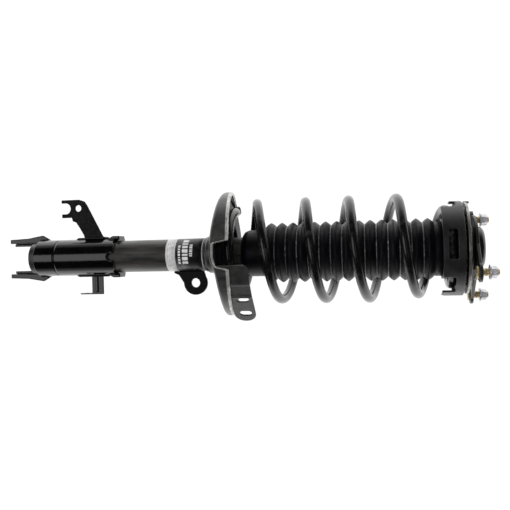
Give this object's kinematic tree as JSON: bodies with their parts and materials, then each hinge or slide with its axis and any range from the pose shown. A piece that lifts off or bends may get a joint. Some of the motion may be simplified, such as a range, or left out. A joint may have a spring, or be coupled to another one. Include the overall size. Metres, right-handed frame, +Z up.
{
  "type": "suspension strut",
  "caption": "Front suspension strut with coil spring, bellows dust boot, clamp-ear wheel bracket and a studded top mount on a bearing.",
  "frame": {"origin": "centre of the lower knuckle bolt hole, midway between the bracket's two ears", "axes": "+Z up the strut's axis towards the top mount, +X along the knuckle bolts towards the stabiliser link eye, +Y from the strut's axis towards the knuckle"},
  "size_m": [0.188, 0.1807, 0.727],
  "materials": {
    "gloss_black": "gloss black electrocoat",
    "tube_black": "dull black paint, slightly weathered",
    "seat_black": "semi-gloss black on pressed sheet",
    "mount_black": "satin black electrocoat",
    "cap_black": "satin black cap",
    "spring_coat": "semi-gloss black powder coat",
    "boot_rubber": "matt black rubber",
    "cup_plastic": "matt black moulded plastic",
    "bump_foam": "cream microcellular foam",
    "label_foil": "printed foil, white and black bands",
    "bright_steel": "machined steel",
    "chrome_rod": "ground and chromed",
    "plate_zinc": "bright zinc plate",
    "stud_gold": "yellow zinc plate",
    "nut_zinc": "clear zinc plate"
  },
  "bodies": {
    "strut_body": {"knuckle_bracket": "gloss_black", "bracket_liner": "gloss_black", "strut_tube": "tube_black", "tube_base_cap": "gloss_black", "base_valve": "bright_steel", "inner_cylinder": "bright_steel", "rod_guide": "bright_steel", "rod_seal": "boot_rubber", "strike_cap": "bright_steel", "hose_bracket": "gloss_black", "sensor_bracket": "gloss_black", "link_bracket": "gloss_black", "label_band": "label_foil", "seat_collar": "gloss_black", "lower_spring_seat": "seat_black", "spring_guard": "seat_black", "lower_isolator": "boot_rubber", "coil_spring": "spring_coat", "boot_cuff": "boot_rubber", "dust_boot": "boot_rubber"},
    "upper_seat": {"upper_spring_seat": "cup_plastic", "upper_isolator": "boot_rubber", "bearing_lower_race": "cup_plastic", "bearing_balls": "bright_steel"},
    "top_mount": {"piston_rod": "chrome_rod", "piston": "bright_steel", "piston_band": "cup_plastic", "piston_nut": "bright_steel", "rebound_stop": "cup_plastic", "bump_stop": "bump_foam", "bump_stop_cup": "bright_steel", "bearing_upper_race": "cup_plastic", "mount_lower_plate": "plate_zinc", "mount_plate": "mount_black", "mount_rubber": "boot_rubber", "mount_sleeve": "bright_steel", "mount_studs": "stud_gold", "stud_nuts": "nut_zinc", "rod_washer": "nut_zinc", "rod_nut": "nut_zinc", "dust_cap": "cap_black"}
  },
  "joints": [
    {"name": "compression", "type": "slide", "parent": "strut_body", "child": "upper_seat", "axis": [0, 0, -1], "range_m": [0, 0.175], "stiffness_N_per_m": 24000, "springref_m": -0.0025, "deforming": ["coil_spring", "dust_boot"]},
    {"name": "steer_swivel", "type": "hinge", "parent": "upper_seat", "child": "top_mount", "pos_m": [0, -0.046, 0.658], "axis": [0, 0, 1], "continuous": true}
  ]
}
